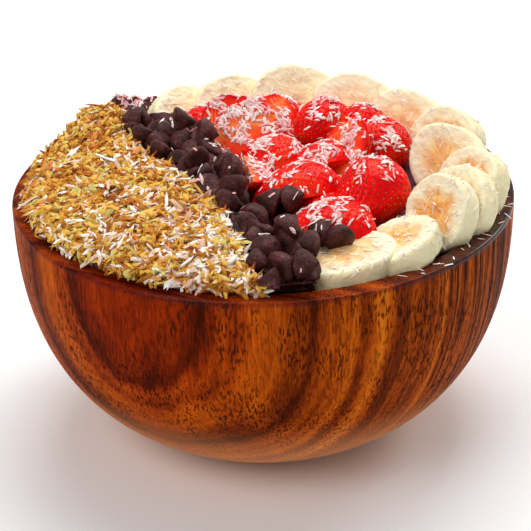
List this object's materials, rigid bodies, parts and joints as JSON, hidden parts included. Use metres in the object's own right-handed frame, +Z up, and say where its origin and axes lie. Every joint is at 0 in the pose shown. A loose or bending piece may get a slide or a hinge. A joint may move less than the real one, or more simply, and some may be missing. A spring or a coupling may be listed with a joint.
{
  "type": "acai bowl",
  "caption": "Turned wooden bowl of acai topped with toasted coconut, chocolate chips, strawberries and shingled banana slices.",
  "frame": {"origin": "centre of the bowl's flat foot, on the surface it stands on", "axes": "+Z up along the bowl's turning axis; the toasted coconut is on the -X side and the front is -Y"},
  "size_m": [0.178, 0.178, 0.1105],
  "materials": {
    "wood": "oiled satin",
    "acai": "moist satin",
    "toasted_coconut": "matte",
    "chocolate": "satin",
    "banana": "moist satin",
    "strawberry": "wet gloss",
    "white_coconut": "matte"
  },
  "bodies": {
    "root": {"bowl": "wood", "acai_base": "acai", "toasted_coconut_heap": "toasted_coconut", "chocolate_chip_heap": "chocolate", "banana_slice_01": "banana", "banana_slice_02": "banana", "banana_slice_03": "banana", "banana_slice_04": "banana", "banana_slice_05": "banana", "banana_slice_06": "banana", "banana_slice_07": "banana", "banana_slice_08": "banana", "banana_slice_09": "banana", "banana_slice_10": "banana", "banana_slice_11": "banana", "banana_slice_12": "banana", "banana_slice_13": "banana", "strawberry_01": "strawberry", "strawberry_02": "strawberry", "strawberry_03": "strawberry", "strawberry_04": "strawberry", "strawberry_05": "strawberry", "strawberry_06": "strawberry", "strawberry_07": "strawberry", "strawberry_08": "strawberry", "strawberry_09": "strawberry", "strawberry_10": "strawberry", "strawberry_11": "strawberry", "strawberry_12": "strawberry", "strawberry_13": "strawberry", "strawberry_14": "strawberry", "strawberry_15": "strawberry", "strawberry_16": "strawberry"}
  },
  "joints": []
}
